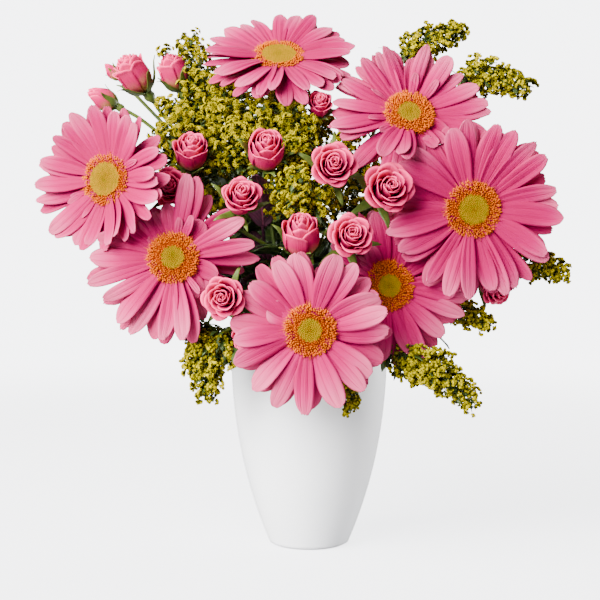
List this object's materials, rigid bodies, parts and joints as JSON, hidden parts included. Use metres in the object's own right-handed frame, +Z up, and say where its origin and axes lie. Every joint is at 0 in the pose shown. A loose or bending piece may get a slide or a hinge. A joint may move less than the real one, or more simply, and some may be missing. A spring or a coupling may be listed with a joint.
{
  "type": "gerberas in a vase",
  "caption": "Mixed arrangement of pink gerberas, spray roses, goldenrod plumes and dark leaves in a plain white tapered vase.",
  "frame": {"origin": "centre of the vase's flat foot, on the surface it stands on", "axes": "+Z up along the vase's axis, -Y towards the side the flowers face, +X to the viewer's right"},
  "size_m": [0.365, 0.2022, 0.3776],
  "materials": {
    "glaze": "satin white glaze",
    "water": "clear water",
    "gerbera_petal": "soft velvety petal",
    "gerbera_disc": "dense matte florets",
    "green_stem": "slightly waxy green stem",
    "rose_petal": "soft rose petal",
    "goldenrod": "matte tiny florets on green",
    "dark_leaf": "dark burgundy leaf"
  },
  "bodies": {
    "root": {"gerbera_1_disc": "gerbera_disc", "gerbera_1_petals": "gerbera_petal", "gerbera_1_stem": "green_stem", "gerbera_2_disc": "gerbera_disc", "gerbera_2_petals": "gerbera_petal", "gerbera_2_stem": "green_stem", "gerbera_3_disc": "gerbera_disc", "gerbera_3_petals": "gerbera_petal", "gerbera_3_stem": "green_stem", "gerbera_4_disc": "gerbera_disc", "gerbera_4_petals": "gerbera_petal", "gerbera_4_stem": "green_stem", "gerbera_5_disc": "gerbera_disc", "gerbera_5_petals": "gerbera_petal", "gerbera_5_stem": "green_stem", "gerbera_6_disc": "gerbera_disc", "gerbera_6_petals": "gerbera_petal", "gerbera_6_stem": "green_stem", "gerbera_7_disc": "gerbera_disc", "gerbera_7_petals": "gerbera_petal", "gerbera_7_stem": "green_stem", "goldenrod_1": "goldenrod", "goldenrod_10": "goldenrod", "goldenrod_11": "goldenrod", "goldenrod_2": "goldenrod", "goldenrod_3": "goldenrod", "goldenrod_4": "goldenrod", "goldenrod_5": "goldenrod", "goldenrod_6": "goldenrod", "goldenrod_7": "goldenrod", "goldenrod_8": "goldenrod", "goldenrod_9": "goldenrod", "leafy_stem_1": "dark_leaf", "leafy_stem_2": "dark_leaf", "rose_spray_1_bloom_1": "rose_petal", "rose_spray_1_bloom_2": "rose_petal", "rose_spray_1_bloom_3": "rose_petal", "rose_spray_1_bloom_4": "rose_petal", "rose_spray_1_stem": "green_stem", "rose_spray_2_bloom_1": "rose_petal", "rose_spray_2_bloom_2": "rose_petal", "rose_spray_2_stem": "green_stem", "rose_spray_3_bloom_1": "rose_petal", "rose_spray_3_bloom_2": "rose_petal", "rose_spray_3_stem": "green_stem", "rose_spray_4_bloom_1": "rose_petal", "rose_spray_4_bloom_2": "rose_petal", "rose_spray_4_bloom_3": "rose_petal", "rose_spray_4_stem": "green_stem", "rose_spray_5_bloom_1": "rose_petal", "rose_spray_5_bloom_2": "rose_petal", "rose_spray_5_stem": "green_stem", "rose_spray_6_bloom_1": "rose_petal", "rose_spray_6_bloom_2": "rose_petal", "rose_spray_6_stem": "green_stem", "rose_spray_7_bloom_1": "rose_petal", "rose_spray_7_stem": "green_stem", "vase": "glaze", "water": "water"}
  },
  "joints": []
}
